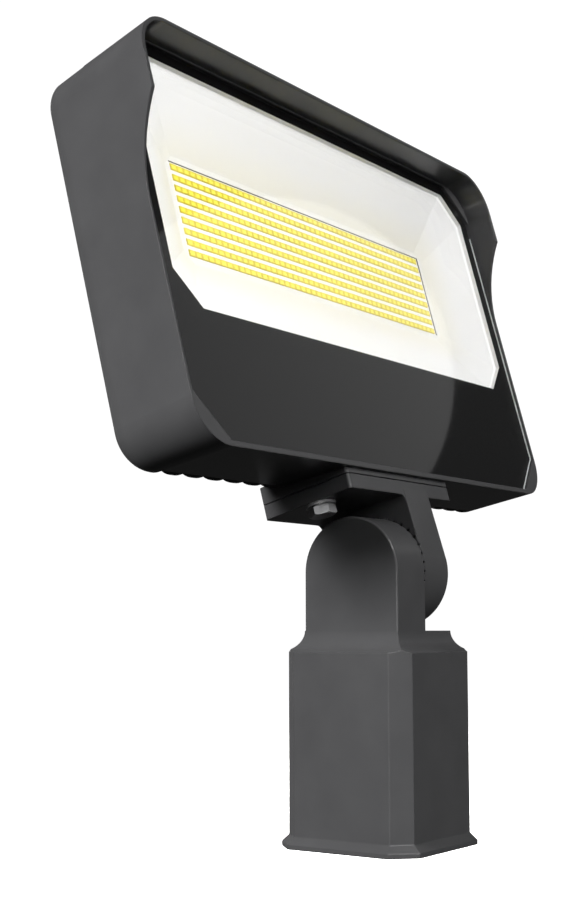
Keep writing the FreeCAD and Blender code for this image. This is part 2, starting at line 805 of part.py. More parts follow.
sweep = sketch_on(housing, "YZ_Plane", "visor_sweep", "head_width")
beyond = f"(visor_ahead + {overrun})"
below = f"(head_bottom - {overrun})"
loop(sweep, [
    ("-rim_ahead", below),
    ("-rim_ahead", "sweep_foot", "sweep_radius", "left"),
    ("-visor_ahead", "visor_tip"),
    (f"-{beyond}", "visor_tip"),
    (f"-{beyond}", below),
])
pocket(housing, sweep, "visor_side", "2 * head_width")
hollow = sketch_on(housing, "XZ_Plane", "visor_hollow", "visor_ahead")
loop(hollow, round_corners(
    "(head_width / 2 - visor_wall)", "(head_bottom + visor_wall)",
    "(head_top - visor_wall)", "(head_corner - visor_wall)",
))
pocket(housing, hollow, "visor_inside", "visor_ahead - rim_ahead")

gap_half = "((fin_pitch - fin_thick) / 2)"
for name, count, low, high, depth in (
    ("fin_gap", "fin_gaps", "fin_foot", f"(head_top + {overrun})", "rear_behind + fin_root"),
    ("rib_gap", "rib_gaps", f"(head_bottom - {overrun})", "fin_foot", "rib_height"),
):
    first_gap = f"(-({count} - 1) / 2 * fin_pitch)"
    gap = sketch_on(housing, "XZ_Plane", name + "_outline", "-rear_behind")
    rectangle(gap, f"{first_gap} - {gap_half}", f"{first_gap} + {gap_half}", low, high)
    cut = pocket(housing, gap, name, depth, True)
    spread = f"({count} - 1) * fin_pitch"
    repeat(housing, "LinearPattern", name + "s", cut, (gap, ["H_Axis"]), count, spread)

foot_pad = sketch_on(housing, "XY_Plane", "pad_outline", "pad_face")
rectangle(foot_pad, "-plate_width / 2", "plate_width / 2", "-plate_ahead", "plate_behind")
pad(housing, foot_pad, "arm_pad", "pad_rise")
pad_ends = (-value("plate_ahead"), value("plate_behind"))
rounded(housing, "pad_corners", "plate_corner", lambda edge: upright(edge, plate_half, pad_ends))

seat = sketch_on(housing, "XZ_Plane", "glass_seat", "rim_ahead")
loop(seat, cut_corners("seat_half", "(glass_bottom - glass_play)", "(glass_top + glass_play)", "glass_cut"))
pocket(housing, seat, "glass_seat_cut", "rim_ahead - ledge")

led_room = sketch_on(housing, "XZ_Plane", "led_room", "ledge")
room_cut = "(glass_cut - ledge_width / 2)"
loop(led_room, [
    ("-cavity_half", f"driver_top - {overrun}"),
    ("cavity_half", f"driver_top - {overrun}"),
    ("cavity_half", f"cavity_top - {room_cut}"),
    (f"cavity_half - {room_cut}", "cavity_top"),
    (f"-cavity_half + {room_cut}", "cavity_top"),
    ("-cavity_half", f"cavity_top - {room_cut}"),
])
pocket(housing, led_room, "led_compartment", "ledge - led_floor")
driver_room = sketch_on(housing, "XZ_Plane", "driver_room", "ledge")
loop(driver_room, [
    (f"-cavity_half + {room_cut}", "cavity_bottom"),
    (f"cavity_half - {room_cut}", "cavity_bottom"),
    ("cavity_half", f"cavity_bottom + {room_cut}"),
    ("cavity_half", "driver_top"),
    ("-cavity_half", "driver_top"),
    ("-cavity_half", f"cavity_bottom + {room_cut}"),
])
pocket(housing, driver_room, "driver_compartment", "ledge + driver_floor")

pad_wire = sketch_on(housing, "XY_Plane", "pad_wire_ring", "pad_face")
ring(pad_wire, "wire_across", "-wire_ahead", "grommet_hole")
pocket(housing, pad_wire, "pad_wire_way", f"cavity_bottom - pad_face + {overrun}", True)
pad_threads = sketch_on(housing, "XY_Plane", "pad_thread_rings", "pad_face")
for side in ("-", ""):
    ring(pad_threads, f"{side}arm_bolt_span / 2", "-arm_bolt_ahead", "arm_bolt_radius + thread_gap")
pocket(housing, pad_threads, "pad_threads", "pad_thread", True)

posts = sketch_on(housing, "XZ_Plane", "post_rings", "-driver_floor")
for side in ("-", ""):
    ring(posts, f"{side}tab_span / 2", "tab_screw_up", "post_radius")
pad(housing, posts, "posts", "driver_floor + tab_back")
post_threads = sketch_on(housing, "XZ_Plane", "post_threads", "tab_back")
for side in ("-", ""):
    ring(post_threads, f"{side}tab_span / 2", "tab_screw_up", "screw_radius + thread_gap")
pocket(housing, post_threads, "post_thread_holes", "screw_grip + hole_cover")
board_screw_spots = [
    (f"{side}board_screw_span / 2", up)
    for side in ("-", "")
    for up in ("(board_bottom + board_screw_inset)", "(board_top - board_screw_inset)")
]
board_threads = sketch_on(housing, "XZ_Plane", "board_threads", "led_floor")
for spot in board_screw_spots:
    ring(board_threads, *spot, "screw_radius + thread_gap")
board_grip = "(board_thick + thermal_thick + screw_grip)"
pocket(housing, board_threads, "board_thread_holes", "screw_grip + thread_gap")
driver_screw_up = "(driver_bottom + driver_height / 2)"
driver_screw_across = "((driver_width + driver_foot) / 2)"
floor_threads = sketch_on(housing, "XZ_Plane", "floor_threads", "-driver_floor")
for side in ("-", ""):
    ring(floor_threads, f"{side}{driver_screw_across}", driver_screw_up, "screw_radius + thread_gap")
ring(floor_threads, "ground_across", "ground_up", "ground_radius + thread_gap")
pocket(housing, floor_threads, "floor_thread_holes", "floor_grip + thread_gap")
on_head(housing, "housing")

# Front glass, its printed border and the silicone bead behind it.
glass_outline = cut_corners("glass_width / 2", "glass_bottom", "glass_top", "glass_cut")
window_outline = cut_corners("window_width / 2", "window_bottom", "window_top", "window_cut")
glass = new_body("lens_glass")
pane_sketch = loop(sketch_on(glass, "XZ_Plane", "pane_outline", "glass_back"), glass_outline)
pad(glass, pane_sketch, "pane", "glass_thick")
on_head(glass, "lens_glass")
mask = new_body("lens_mask")
mask_sketch = loop(sketch_on(mask, "XZ_Plane", "mask_outline", "mask_back"), glass_outline)
pad(mask, loop(mask_sketch, window_outline), "print", "mask_thick")
on_head(mask, "lens_mask")
bead = new_body("lens_gasket")
bead_sketch = loop(sketch_on(bead, "XZ_Plane", "bead_outline", "ledge"), glass_outline)
loop(bead_sketch, cut_corners("cavity_half", "cavity_bottom", "cavity_top", room_cut))
pad(bead, bead_sketch, "bead", "lens_gasket_thick")
on_head(bead, "lens_gasket")

# Reflector tray: a flat rim on the board and four sloping walls out to the window.
tray = new_body("reflector")


def tray_section(name, along, inset):
    # The tray's outline at its foot or at its mouth, drawn in by the wall for the inner skin.
    if along == "foot":
        half = f"(led_width / 2 + tray_rim - {inset})"
        low = f"(led_bottom - tray_rim + {inset})"
        high = f"(led_top + tray_rim - {inset})"
        corners = cut_corners(half, low, high, "tray_cut")
        level = "board_front" if inset == "0" else "board_front + tray_wall"
    else:
        edge = "tray_wall" if inset == "0" else "0"
        half = f"(window_width / 2 + {edge})"
        low = f"(window_bottom - {edge})"
        high = f"(window_top + {edge})"
        corners = cut_corners(half, low, high, "window_cut")
        level = "tray_front"
    return loop(sketch_on(tray, "XZ_Plane", name, level), corners)


loft(tray, "AdditiveLoft", "tray_outside", [
    tray_section("foot_outside", "foot", "0"),
    tray_section("mouth_outside", "mouth", "0"),
])
loft(tray, "SubtractiveLoft", "tray_inside", [
    tray_section("foot_inside", "foot", "tray_wall"),
    tray_section("mouth_inside", "mouth", "tray_wall"),
])
opening = sketch_on(tray, "XZ_Plane", "led_opening", "board_front + tray_wall")
rectangle(opening, "-led_width / 2", "led_width / 2", "led_bottom", "led_top")
pocket(tray, opening, "opening", "tray_wall")
tabs = sketch_on(tray, "XZ_Plane", "tab_outlines", "tab_back")
for middle in ("(-tab_span / 2)", "(tab_span / 2)"):
    tab_low = "window_bottom - tab_length"
    rectangle(tabs, f"{middle} - tab_width / 2", f"{middle} + tab_width / 2", tab_low, "tab_high")
    ring(tabs, middle, "tab_screw_up", "screw_radius + bolt_play")
pad(tray, tabs, "tabs", "tab_thick")
on_head(tray, "reflector")
tab_screws = [
    screw(
        f"tab_screw_{index}", "y", (f"{side}tab_span / 2", "-tab_front", "tab_screw_up"),
        "screw_radius", "(screw_grip + tab_thick)", "screw_head_radius", "screw_head", -1,
    )
    for index, side in enumerate(("-", ""))
]
on_head(grouped("reflector_screws", tab_screws), "reflector_screws")

# Circuit board with its chips, heat pad, screws and plug.


def sheet_with_holes(name, behind, ahead):
    half = "board_width / 2"
    depth = (f"-{ahead}", f"-{behind}")
    plain = block(name + "_sheet", (f"-{half}", half), depth, ("board_bottom", "board_top"))
    holes = []
    for index, (across, up) in enumerate(board_screw_spots):
        spot = (across, f"-{ahead}", up)
        thick = f"{ahead} - {behind}"
        holes.append(rod(f"{name}_hole_{index}", "y", spot, "screw_radius + bolt_play", thick))
    return without(name, plain, holes)


on_head(sheet_with_holes("thermal_pad", "led_floor", "board_back"), "thermal_pad")
on_head(sheet_with_holes("led_board", "board_back", "board_front"), "led_board")
rows = []
for row in range(int(value("row_count"))):
    middle = f"((led_bottom + led_top) / 2 + ({row} - (row_count - 1) / 2) * row_pitch)"
    rows.append(block(
        f"row_{row}", ("-row_length / 2", "row_length / 2"),
        ("-board_front - chip_thick", "-board_front"),
        (f"{middle} - chip_width / 2", f"{middle} + chip_width / 2"),
    ))
on_head(grouped("led_rows", rows), "led_rows")
board_screws = [
    screw(
        f"board_screw_{index}", "y", (across, "-board_front", up),
        "screw_radius", board_grip, "screw_head_radius", "screw_head", -1,
    )
    for index, (across, up) in enumerate(board_screw_spots)
]
on_head(grouped("board_screws", board_screws), "board_screws")
plug_case = block(
    "plug_case", ("-plug_left", "-plug_left + plug_length"),
    ("-board_front - plug_thick", "-board_front"),
    ("plug_up - plug_width / 2", "plug_up + plug_width / 2"),
)
plug_latch = block(
    "plug_latch", ("-plug_left + plug_length / 2", "-plug_left + plug_length"),
    ("-board_front - plug_thick - latch_height", "-board_front - plug_thick"),
    ("plug_up - latch_width / 2", "plug_up + latch_width / 2"),
)
on_head(joined("board_connector", [plug_case, plug_latch]), "board_connector")

# Driver with two feet, its screws, the supply terminals and the earth screw.
driver_half = "driver_width / 2"
driver_case = block(
    "driver_case", (f"-{driver_half}", driver_half), ("-driver_front", "driver_floor"),
    ("driver_bottom", "driver_bottom + driver_height"),
)
foot_low = f"({driver_screw_up} - driver_foot_height / 2)"
driver_feet = block(
    "driver_feet", (f"-{driver_half} - driver_foot", f"{driver_half} + driver_foot"),
    ("driver_floor - driver_foot_thick", "driver_floor"), (foot_low, f"{foot_low} + driver_foot_height"),
)
foot_seat = "(driver_floor - driver_foot_thick)"
foot_holes = [
    rod(f"foot_hole_{index}", "y", (f"{side}{driver_screw_across}", foot_seat, driver_screw_up),
        "screw_radius + bolt_play", "driver_foot_thick")
    for index, side in enumerate(("-", ""))
]
on_head(without("driver", joined("driver_shape", [driver_case, driver_feet]), foot_holes), "driver")
driver_screws = [
    screw(
        f"driver_screw_{index}", "y", (f"{side}{driver_screw_across}", foot_seat, driver_screw_up),
        "screw_radius", "(driver_foot_thick + floor_grip)", "screw_head_radius", "screw_head", -1,
    )
    for index, side in enumerate(("-", ""))
]
on_head(grouped("driver_screws", driver_screws), "driver_screws")
terminal = block(
    "terminal_shape", ("terminal_left", "terminal_left + terminal_length"),
    ("driver_floor - terminal_thick", "driver_floor"),
    ("terminal_bottom", "terminal_bottom + terminal_height"),
)
wells = []
for index in range(int(value("terminal_ways"))):
    across = f"terminal_left + terminal_length * (2 * {index} + 1) / (2 * terminal_ways)"
    spot = (across, "driver_floor - terminal_thick", "terminal_bottom + terminal_height / 2")
    wells.append(rod(f"terminal_well_{index}", "y", spot, "terminal_well", "terminal_thick / 2"))
on_head(without("terminal_block", terminal, wells), "terminal_block")
on_head(
    screw("ground_screw", "y", ("ground_across", "driver_floor", "ground_up"),
          "ground_radius", "floor_grip", "ground_head_radius", "screw_head", -1),
    "ground_screw",
)


def lead(index):
    # One of the two leads from the driver's end, up the side of the compartment, to the plug.
    body = new_body(f"lead_{index}")
    offset = f"({index} * lead_pitch)"
    left = f"(plug_left + lead_run - {offset})"
    low = f"(lead_exit + {offset})"
    high = f"(plug_up + lead_pitch / 2 - {offset})"
    spine = sketch_on(body, "XZ_Plane", f"lead_route_{index}", "lead_ahead")
    loop(spine, [
        (f"-{driver_half}", low),
        (f"-{left} + lead_bend", low, "lead_bend", "right"),
        (f"-{left}", f"{low} + lead_bend"),
        (f"-{left}", f"{high} - lead_turn", "lead_turn", "right"),
        (f"-{left} + lead_turn", high),
        ("-plug_left", high),
    ], closed=False)
    profile = sketch_on(body, "YZ_Plane", f"lead_ring_{index}", f"-{driver_half}")
    ring(profile, "-lead_ahead", low, "lead_radius")
    pipe = body.newObject("PartDesign::AdditivePipe", f"lead_pipe_{index}")
    pipe.Profile = profile
    pipe.Spine = spine
    doc.recompute()
    return body


on_head(grouped("led_leads", [lead(0), lead(1)]), "led_leads")

# Rubber bush in the wire hole of the pad.
bush_low = ("wire_across", "-wire_ahead", "pad_face")
bush_high = ("wire_across", "-wire_ahead", "cavity_bottom")
bush = joined("bush_shape", [
    rod("bush_barrel", "z", bush_low, "grommet_hole - grommet_play", "cavity_bottom - pad_face"),
    rod("bush_lip", "z", bush_high, "grommet_hole + grommet_lip", "grommet_lip"),
])
bush_length = "cavity_bottom - pad_face + grommet_lip"
bush_bore = rod("bush_bore", "z", bush_low, "grommet_hole - grommet_wall", bush_length)
on_head(without("wire_grommet", bush, [bush_bore]), "wire_grommet")

doc.recompute()
for item in doc.Objects:
    if "Invalid" in item.State or "Error" in item.State:
        raise RuntimeError(f"{item.Label} did not build")
os.makedirs("parts", exist_ok=True)
for item in finished:
    shape = item.Shape
    if shape.isNull() or not shape.isValid():
        raise RuntimeError(f"{item.Label} has no valid shape")
    shape.exportStep(f"parts/{item.Label}.step")
    box = shape.BoundBox
    extent = f"{box.XLength:.1f} x {box.YLength:.1f} x {box.ZLength:.1f}"
    print(f"{item.Label}: {len(shape.Solids)} solid(s), {extent}")
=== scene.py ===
import bpy
import bmesh
import json
import math
from mathutils import Matrix, Vector


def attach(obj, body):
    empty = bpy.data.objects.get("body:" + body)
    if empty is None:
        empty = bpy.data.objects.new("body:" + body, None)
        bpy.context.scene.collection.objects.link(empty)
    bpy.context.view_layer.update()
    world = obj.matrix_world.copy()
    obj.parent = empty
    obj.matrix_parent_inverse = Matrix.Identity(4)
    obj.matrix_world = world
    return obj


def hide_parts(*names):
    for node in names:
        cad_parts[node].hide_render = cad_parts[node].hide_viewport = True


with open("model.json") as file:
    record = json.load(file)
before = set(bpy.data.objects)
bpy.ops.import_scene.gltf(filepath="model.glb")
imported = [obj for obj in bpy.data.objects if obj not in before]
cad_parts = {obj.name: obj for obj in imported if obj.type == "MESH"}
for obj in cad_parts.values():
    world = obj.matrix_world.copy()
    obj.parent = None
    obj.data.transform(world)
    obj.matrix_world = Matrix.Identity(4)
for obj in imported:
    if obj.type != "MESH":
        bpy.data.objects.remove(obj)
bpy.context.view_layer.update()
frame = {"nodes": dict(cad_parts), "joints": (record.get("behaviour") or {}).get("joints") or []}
nodes = frame["nodes"]
scene = bpy.context.scene
print("frame loaded:", len(nodes), "nodes")

mm = 0.001
# the head is drawn upright about the tilt axis, then leaned back
tilt = {"pivot": Vector(frame["joints"][0]["pos_m"]), "lean": 15.3}
headPlace = (Matrix.Translation(tilt["pivot"])
             @ Matrix.Rotation(math.radians(-tilt["lean"]), 4, "X"))


# material helpers

def newMaterial(name):
    mat = bpy.data.materials.new(name)
    mat.use_nodes = True
    return mat, mat.node_tree


def link(tree, source, target):
    tree.links.new(source, target)


def objectSpace(tree):
    return tree.nodes.new("ShaderNodeTexCoord").outputs["Object"]


def noise(tree, scale, detail=3.0, rough=0.5):
    node = tree.nodes.new("ShaderNodeTexNoise")
    node.inputs["Scale"].default_value = scale
    node.inputs["Detail"].default_value = detail
    node.inputs["Roughness"].default_value = rough
    link(tree, objectSpace(tree), node.inputs["Vector"])
    return node.outputs["Fac"]


def ramp(tree, source, stops):
    node = tree.nodes.new("ShaderNodeValToRGB")
    bar = node.color_ramp
    while len(bar.elements) < len(stops):
        bar.elements.new(0.5)
    for element, (place, tone) in zip(bar.elements, stops):
        element.position = place
        element.color = (*tone, 1.0)
    link(tree, source, node.inputs["Fac"])
    return node.outputs["Color"]


def spread(tree, source, low, high, start=0.0, end=1.0):
    node = tree.nodes.new("ShaderNodeMapRange")
    node.inputs["From Min"].default_value = start
    node.inputs["From Max"].default_value = end
    node.inputs["To Min"].default_value = low
    node.inputs["To Max"].default_value = high
    link(tree, source, node.inputs["Value"])
    return node.outputs["Result"]


def bump(tree, source, strength, depth, under=None):
    node = tree.nodes.new("ShaderNodeBump")
    node.inputs["Strength"].default_value = strength
    node.inputs["Distance"].default_value = depth
    link(tree, source, node.inputs["Height"])
    if under is not None:
        link(tree, under, node.inputs["Normal"])
    return node.outputs["Normal"]


def softEdge(tree, radius):
    node = tree.nodes.new("ShaderNodeBevel")
    node.samples = 6
    node.inputs["Radius"].default_value = radius
    return node.outputs["Normal"]


def finish(name, look):
    # colour from a cloud of noise, roughness and relief from a finer grain where there is one
    mat, tree = newMaterial(name)
    shader = tree.nodes["Principled BSDF"]
    cloud = noise(tree, **look["cloud"])
    grain = noise(tree, **look["grain"]) if "grain" in look else cloud
    low, high = look.get("stops", (0.3, 0.7))
    tones = ramp(tree, cloud, [(low, look["dark"]), (high, look["light"])])
    link(tree, tones, shader.inputs["Base Color"])
    if "rough" in look:
        shader.inputs["Roughness"].default_value = sum(look["rough"]) / 2
        link(tree, spread(tree, grain, *look["rough"]), shader.inputs["Roughness"])
    if "bump" in look:
        under = softEdge(tree, look["edge"]) if "edge" in look else None
        link(tree, bump(tree, grain, *look["bump"], under), shader.inputs["Normal"])
    for socket, value in look.get("sockets", {}).items():
        shader.inputs[socket].default_value = value
    return mat


def mottled(name, dark, light, scale, rough, metal=0.0):
    return finish(name, {
        "dark": dark, "light": light, "cloud": {"scale": scale, "rough": 0.6},
        "rough": (rough - 0.08, rough + 0.08), "bump": (0.1, 0.05 * mm),
        "sockets": {"Metallic": metal},
    })


def dress(mat, *names):
    for name in names:
        slots = nodes[name].data.materials
        slots.clear()
        slots.append(mat)


# mesh helpers

def bridge(bm, low, high, closed=True):
    count = len(low)
    for i in range(count if closed else count - 1):
        j = (i + 1) % count
        bm.faces.new((low[i], low[j], high[j], high[i]))


def addPiece(name, bm, mats, slot, body, *replaced, sharp=28):
    bmesh.ops.recalc_face_normals(bm, faces=bm.faces)
    mesh = bpy.data.meshes.new(name)
    bm.to_mesh(mesh)
    bm.free()
    mesh.polygons.foreach_set("use_smooth", [True] * len(mesh.polygons))
    mesh.set_sharp_from_angle(angle=math.radians(sharp))
    for mat in mats:
        mesh.materials.append(mat)
    piece = bpy.data.objects.new(name, mesh)
    scene.collection.objects.link(piece)
    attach(piece, body)
    if replaced:
        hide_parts(*replaced)


# cast pieces: dark grey powder coat with a fine orange peel
coat = {
    "dark": (0.034, 0.034, 0.035), "light": (0.040, 0.040, 0.041),
    "cloud": {"scale": 38, "detail": 4, "rough": 0.6},
    "grain": {"scale": 1500, "detail": 2},
    "rough": (0.26, 0.32), "bump": (0.06, 0.03 * mm), "edge": 1.0 * mm,
    "sockets": {"Specular IOR Level": 0.2, "Coat Weight": 0.2, "Coat Roughness": 0.12},
}
dress(finish("powderCoat", coat), "slipfitter", "tilt_arm", "housing")
print("cast pieces coated")


# fasteners: turned steel with chamfered hexagon heads
steel = {
    "dark": (0.36, 0.36, 0.37), "light": (0.58, 0.58, 0.59),
    "cloud": {"scale": 220, "detail": 4, "rough": 0.6},
    "grain": {"scale": 2400, "detail": 2},
    "rough": (0.26, 0.42), "bump": (0.15, 0.03 * mm), "edge": 0.3 * mm,
    "sockets": {"Metallic": 0.6},
}
darkTone = {"dark": (0.30, 0.30, 0.305), "light": (0.42, 0.42, 0.425)}
brightSteel = finish("brightSteel", steel)
boltSteel = finish("boltSteel", {**steel, **darkTone})
dress(brightSteel, "pivot_washer", "pivot_lock_washer", "reflector_screws", "board_screws",
      "driver_screws", "ground_screw")
dress(boltSteel, "arm_washers")

# shares of the head's flats and height, of the shank's radius and of the thread's pitch
hexHead = {"steps": 72, "face": 0.475, "hub": 0.45, "chamfer": 30, "skirt": 0.12}
shankEnd = {"radius": 0.86, "long": 0.1}
thread = {"perTurn": 6, "depth": 0.6, "runOut": 1.2}


def ringOf(bm, place, height, radiusAt):
    ring = []
    for step in range(hexHead["steps"]):
        turn = 2 * math.pi * step / hexHead["steps"]
        radius = radiusAt(turn)
        z = height(turn) if callable(height) else height
        spot = Vector((radius * math.cos(turn), radius * math.sin(turn), z))
        ring.append(bm.verts.new(place @ spot))
    return ring


def roundOf(radius):
    return lambda turn: radius


def hexOf(flats):
    # a corner of the hexagon lies on the local X axis
    return lambda turn: flats / 2 / math.cos(turn % (math.pi / 3) - math.pi / 6)


def hexBolt(bm, place, flats, headHigh, shankRadius, shankLong, pitch=0.0):
    # the head stands on z = 0 and points down, the shank goes up
    corner = hexOf(flats)
    face = hexHead["face"] * flats
    slope = math.tan(math.radians(hexHead["chamfer"]))
    rings = [
        ringOf(bm, place, -headHigh, roundOf(face * hexHead["hub"])),
        ringOf(bm, place, -headHigh, roundOf(face)),
        ringOf(bm, place, lambda turn: -headHigh + (corner(turn) - face) * slope, corner),
        ringOf(bm, place, -hexHead["skirt"] * headHigh, corner),
        ringOf(bm, place, 0.0, roundOf(face)),
        ringOf(bm, place, 0.0, roundOf(shankRadius)),
    ]
    if pitch:
        # the thread's crest lies a little further round on each ring
        depth = thread["depth"] * pitch
        perTurn = thread["perTurn"]
        for level in range(1, int((shankLong - thread["runOut"] * pitch) / pitch * perTurn)):
            up = level * pitch / perTurn

            def crest(turn, up=up):
                share = (up / pitch - turn / (2 * math.pi)) % 1.0
                return shankRadius - depth * (1 - abs(2 * share - 1))

            rings.append(ringOf(bm, place, up, crest))
        rings.append(ringOf(bm, place, shankLong - pitch, roundOf(shankRadius - depth)))
    else:
        start = shankLong - shankEnd["long"] * shankRadius
        rings.append(ringOf(bm, place, start, roundOf(shankRadius)))
    rings.append(ringOf(bm, place, shankLong, roundOf(shankRadius * shankEnd["radius"])))
    for low, high in zip(rings, rings[1:]):
        bridge(bm, low, high)
    bm.faces.new(list(reversed(rings[0])))
    bm.faces.new(rings[-1])


armBolt = {
    "shape": {"flats": 13 * mm, "headHigh": 5.3 * mm, "shankRadius": 4 * mm, "shankLong": 16 * mm},
    "across": 44 * mm, "ahead": 2 * mm, "seat": 33.8 * mm,
}
bm = bmesh.new()
for side in (-1, 1):
    seat = (side * armBolt["across"], -armBolt["ahead"], armBolt["seat"])
    hexBolt(bm, headPlace @ Matrix.Translation(seat), **armBolt["shape"])
addPiece("armBolts", bm, [boltSteel], "dark_steel", "head", "arm_bolts")

pivotBolt = {
    "shape": {"flats": 19 * mm, "headHigh": 7.5 * mm, "shankRadius": 6 * mm, "shankLong": 40 * mm},
    "seat": 18.8 * mm,
}
bm = bmesh.new()
place = (Matrix.Translation(tilt["pivot"] + Vector((pivotBolt["seat"], 0, 0)))
         @ Matrix.Rotation(math.radians(-90), 4, "Y"))
hexBolt(bm, place, **pivotBolt["shape"])
addPiece("knuckleBolt", bm, [brightSteel], "steel", "base", "pivot_bolt")

clampScrew = {
    "shape": {"flats": 16 * mm, "headHigh": 6.4 * mm, "shankRadius": 5 * mm, "pitch": 1.5 * mm},
    "seat": 44 * mm, "tip": 31 * mm, "heights": {"lower": 26 * mm, "upper": 62 * mm},
}
for which, height in clampScrew["heights"].items():
    bm = bmesh.new()
    place = (Matrix.Translation((0, clampScrew["seat"], height))
             @ Matrix.Rotation(math.radians(90), 4, "X"))
    hexBolt(bm, place, shankLong=clampScrew["seat"] - clampScrew["tip"], **clampScrew["shape"])
    addPiece(which + "ClampScrew", bm, [brightSteel], "steel", which + "_screw",
             "clamp_screw_" + which)
print("fasteners made")


# rubber and silicone
rubber = {
    "dark": (0.010, 0.010, 0.010), "light": (0.020, 0.020, 0.021),
    "cloud": {"scale": 900, "rough": 0.6}, "rough": (0.6, 0.8), "bump": (0.2, 0.05 * mm),
}
dress(finish("darkRubber", rubber), "arm_gasket", "lens_gasket", "wire_grommet")


# front: clear pane, black print behind its border
pane = {"tint": (0.985, 0.985, 0.985), "least": 0.045, "rise": 4.0, "rough": (0.015, 0.045),
        "streaks": {"scale": 14, "rough": 0.6}}


def clearPane():
    mat, tree = newMaterial("clearPane")
    tree.nodes.clear()
    out = tree.nodes.new("ShaderNodeOutputMaterial")
    mix = tree.nodes.new("ShaderNodeMixShader")
    through = tree.nodes.new("ShaderNodeBsdfTransparent")
    gloss = tree.nodes.new("ShaderNodeBsdfGlossy")
    facing = tree.nodes.new("ShaderNodeLayerWeight")
    power = tree.nodes.new("ShaderNodeMath")
    level = tree.nodes.new("ShaderNodeMath")
    through.inputs["Color"].default_value = (*pane["tint"], 1)
    gloss.inputs["Color"].default_value = (1, 1, 1, 1)
    streaks = noise(tree, **pane["streaks"])
    link(tree, spread(tree, streaks, *pane["rough"]), gloss.inputs["Roughness"])
    # gloss rises towards a glancing view
    facing.inputs["Blend"].default_value = 0.5
    power.operation = "POWER"
    power.inputs[1].default_value = pane["rise"]
    level.operation = "MULTIPLY_ADD"
    level.inputs[1].default_value = 1 - pane["least"]
    level.inputs[2].default_value = pane["least"]
    link(tree, facing.outputs["Facing"], power.inputs[0])
    link(tree, power.outputs[0], level.inputs[0])
    link(tree, level.outputs[0], mix.inputs["Fac"])
    link(tree, through.outputs[0], mix.inputs[1])
    link(tree, gloss.outputs[0], mix.inputs[2])
    link(tree, mix.outputs[0], out.inputs["Surface"])
    return mat


dress(clearPane(), "lens_glass")

# the print is drawn where the eye finds it through the pane, ahead of the pane's rear face
border = {
    "outline": {"half": 171.9 * mm, "low": 49.8 * mm, "high": 257.9 * mm, "cut": 21.95 * mm},
    "window": {"half": 164.3 * mm, "low": 116.2 * mm, "high": 252.0 * mm, "cut": 17.5 * mm},
    "ahead": 27.7 * mm, "thick": 0.15 * mm,
    "look": {"dark": (0.0016, 0.0016, 0.0017), "light": (0.0030, 0.0030, 0.0032),
             "cloud": {"scale": 700, "detail": 2}, "rough": (0.35, 0.5),
             "sockets": {"Specular IOR Level": 0.15}},
}


def cutCorners(half, low, high, cut):
    return [(-half + cut, low), (half - cut, low), (half, low + cut), (half, high - cut),
            (half - cut, high), (-half + cut, high), (-half, high - cut), (-half, low + cut)]


def wall(bm, outer, inner, rear, front, closed=True):
    # a wall between two paths, from one depth in front of the tilt axis to another
    loops = [[bm.verts.new((x, -ahead, z)) for x, z in path] for path, ahead in
             ((outer, rear), (outer, front), (inner, front), (inner, rear))]
    for low, high in zip(loops, loops[1:] + loops[:1]):
        bridge(bm, low, high, closed)
    if not closed:
        bm.faces.new([loop[0] for loop in loops])
        bm.faces.new([loop[-1] for loop in reversed(loops)])


bm = bmesh.new()
outline = cutCorners(**border["outline"])
window = cutCorners(**border["window"])
printRear = border["ahead"] - border["thick"]
wall(bm, outline, window, printRear, border["ahead"])
bm.transform(headPlace)
addPiece("borderPrint", bm, [finish("blackPrint", border["look"])], "black_print", "head",
         "lens_mask")

# the ground edge of the pane glows at both ends, below the visor's wings
paneRim = {
    "rear": 27.72 * mm, "front": 28.5 * mm, "thick": 0.2 * mm, "top": 226 * mm,
    "look": {"dark": (0.70, 0.73, 0.72), "light": (0.82, 0.85, 0.84),
             "cloud": {"scale": 900}, "rough": (0.5, 0.7)},
}
bm = bmesh.new()
for side in (-1, 1):
    outer = [(side * x, z) for x, z in outline[1:3]]
    outer.append((side * border["outline"]["half"], paneRim["top"]))
    inner = [(x - side * paneRim["thick"], z) for x, z in outer]
    wall(bm, outer, inner, paneRim["rear"], paneRim["front"], closed=False)
bm.transform(headPlace)
addPiece("paneEdge", bm, [finish("groundGlass", paneRim["look"])], "clear_glass", "head")
print("front made")


# light engine: white tray, board, chips
tray = {
    "white": (0.82, 0.82, 0.815), "paintedBounce": (0.79, 0.775, 0.70), "line": (0.10, 0.10, 0.11),
    "board": 9.4 * mm, "mouth": 19 * mm, "paintedBounceAt": 0.16, "whiteAt": 0.9,
    "lineEnds": (0.065, 0.075), "patches": {"scale": 60}, "drift": 0.12,
    "grain": {"scale": 600, "detail": 2}, "rough": (0.34, 0.46),
}


